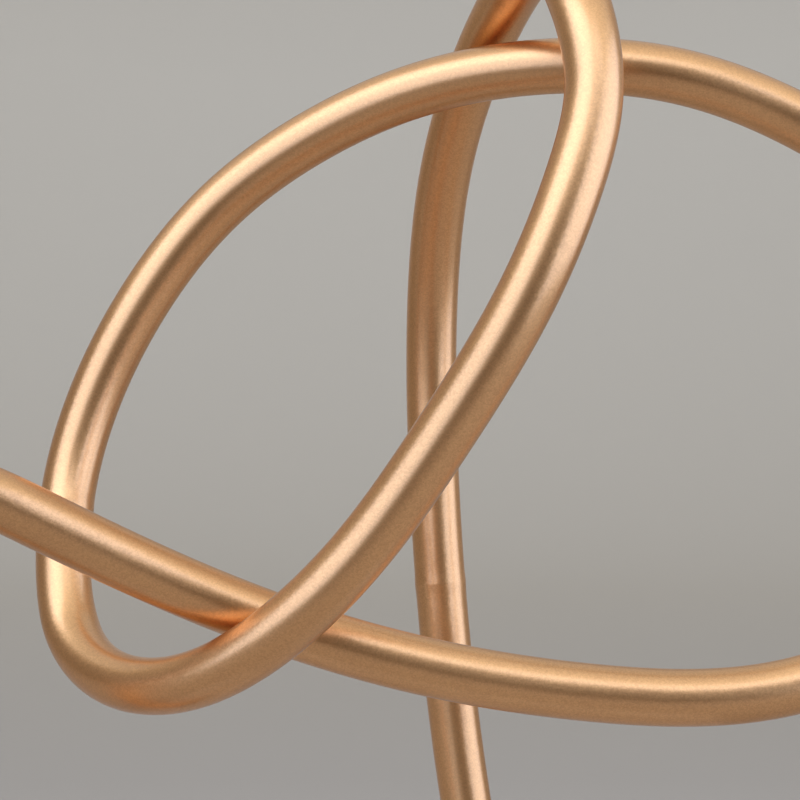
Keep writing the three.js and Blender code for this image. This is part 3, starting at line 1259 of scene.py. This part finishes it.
@dataclass(frozen=True)
class Softbox:
    """A flat diffuser that faces the loops."""

    name: str
    azimuth: float
    elevation: float
    distance: float
    width: float
    height: float
    brightness: float
    tint: str = "#bed5ff"
    # The rim around the face cuts off its light past half this angle
    spread: float = 150.0

    def place(self, target: Vector) -> None:
        """Sets the softbox up.

        Args:
            target: Point that it faces.
        """
        light = bpy.data.lights.new(self.name, "AREA")
        light.shape = "RECTANGLE"
        light.size, light.size_y = self.width, self.height
        light.color = linear(self.tint)[:3]
        light.energy = self.brightness * math.pi * self.width * self.height
        light.spread = math.radians(self.spread)
        azimuth, elevation = math.radians(self.azimuth), math.radians(self.elevation)
        towards = Vector((
            math.sin(azimuth) * math.cos(elevation),
            -math.cos(azimuth) * math.cos(elevation),
            math.sin(elevation),
        ))
        lamp = bpy.data.objects.new(self.name, light)
        lamp.location = target + towards * self.distance
        lamp.rotation_euler = towards.to_track_quat("Z", "Y").to_euler()
        lamp.visible_camera = False
        bpy.context.scene.collection.objects.link(lamp)
        LOG.info("%s at %s", self.name, tuple(round(v, 2) for v in lamp.location))


@dataclass
class Studio:
    """A round paper cove under a pale ceiling, and three softboxes in front."""

    floor_radius: float = 1.3
    cove_radius: float = 0.9
    wall_height: float = 1.7
    sides: int = 96
    cove_segments: int = 16
    ceiling: str = "#eef8ff"
    ceiling_front: float = 1.27
    ceiling_back: float = 0.74
    # How far forwards and back the one brightness turns into the other
    ceiling_blend: float = 0.6
    target: Vector = field(default_factory=lambda: Vector((0.0, 0.0, LOOPS_MIDDLE)))
    softboxes: tuple[Softbox, ...] = (
        Softbox("softbox_left", -44.0, 30.0, 1.0, width=1.1, height=1.36, brightness=1.8),
        Softbox("softbox_right", 71.0, 12.4, 0.48, width=0.68, height=0.46, brightness=1.85),
        Softbox("softbox_over", 18.0, 42.0, 1.25, width=0.75, height=0.5, brightness=0.89),
    )

    def build(self) -> None:
        """Makes the cove, lights it and sets the view transform."""
        self.build_cove()
        for softbox in self.softboxes:
            softbox.place(self.target)
        self.light_ceiling()
        bpy.context.scene.view_settings.view_transform = "Standard"

    def build_cove(self) -> None:
        """Makes the floor, its curve and the wall in one sweep."""
        bm = bmesh.new()
        start = bm.verts.new((0.0, 0.0, 0.0))
        made = bmesh.ops.extrude_vert_indiv(bm, verts=[start])
        bmesh.ops.translate(bm, vec=(self.floor_radius, 0.0, 0.0), verts=made["verts"])
        centre = (self.floor_radius, 0.0, self.cove_radius)
        curve = bmesh.ops.spin(
            bm,
            geom=made["verts"],
            cent=centre,
            axis=(0.0, -1.0, 0.0),
            angle=math.pi / 2,
            steps=self.cove_segments,
        )
        last = [item for item in curve["geom_last"] if isinstance(item, bmesh.types.BMVert)]
        wall = bmesh.ops.extrude_vert_indiv(bm, verts=last)
        bmesh.ops.translate(bm, vec=(0.0, 0.0, self.wall_height - self.cove_radius), verts=wall["verts"])
        bmesh.ops.spin(
            bm,
            geom=bm.verts[:] + bm.edges[:],
            cent=(0.0, 0.0, 0.0),
            axis=(0.0, 0.0, 1.0),
            angle=math.tau,
            steps=self.sides,
            use_merge=True,
        )
        bmesh.ops.remove_doubles(bm, verts=bm.verts[:], dist=TOUCH)
        bmesh.ops.recalc_face_normals(bm, faces=bm.faces[:])
        if next(face for face in bm.faces if face.calc_center_median().z < MM).normal.z < 0:
            bmesh.ops.reverse_faces(bm, faces=bm.faces[:])
        cove = finished_piece(bm, "paper_cove")
        cove.data.materials.append(BackdropPaper().material())
        LOG.info("paper_cove: %d faces", len(cove.data.polygons))

    def light_ceiling(self) -> None:
        """Lights the studio from the pale ceiling over the cove, which is brighter in front."""
        world = bpy.data.worlds.new("pale_ceiling")
        world.use_nodes = True
        tree = world.node_tree
        tree.nodes.clear()
        depth = add_node(
            tree,
            "ShaderNodeSeparateXYZ",
            None,
            {"Vector": add_node(tree, "ShaderNodeTexCoord").outputs["Generated"]},
        )
        strength = add_node(
            tree,
            "ShaderNodeMapRange",
            {
                "interpolation_type": "SMOOTHSTEP",
                "From Min": -self.ceiling_blend,
                "From Max": self.ceiling_blend,
                "To Min": self.ceiling_front,
                "To Max": self.ceiling_back,
            },
            {"Value": depth.outputs["Y"]},
        )
        background = add_node(
            tree,
            "ShaderNodeBackground",
            {"Color": linear(self.ceiling)},
            {"Strength": strength.outputs["Result"]},
        )
        add_node(tree, "ShaderNodeOutputWorld", None, {"Surface": background.outputs["Background"]})
        bpy.context.scene.world = world


@dataclass(frozen=True)
class PortraitCamera:
    """A level camera close in front of the loops."""

    distance: float = 0.4
    height: float = LOOPS_MIDDLE
    lens: float = 100.0
    sensor: float = 36.0
    near: float = 0.01

    def place(self) -> None:
        """Puts the camera in the scene."""
        camera = bpy.data.cameras.new("portrait_camera")
        camera.lens = self.lens
        camera.sensor_width = self.sensor
        camera.clip_start = self.near
        rig = bpy.data.objects.new("portrait_camera", camera)
        rig.location = (0.0, -self.distance, self.height)
        rig.rotation_euler = (math.pi / 2, 0.0, 0.0)
        bpy.context.scene.collection.objects.link(rig)
        bpy.context.scene.camera = rig


def main() -> None:
    """Builds the camera, the sculpture and the studio."""
    logging.basicConfig(level=logging.INFO, format="%(name)s: %(message)s")
    PortraitCamera().place()
    finishes = Finishes.mixed()
    LoopTube().build(finishes)
    MarbleBlock().build(finishes)
    RubberPad().build(finishes)
    for leg in Leg:
        LegFasteners(leg).build(finishes)
    Studio().build()


if __name__ == "__main__":
    main()
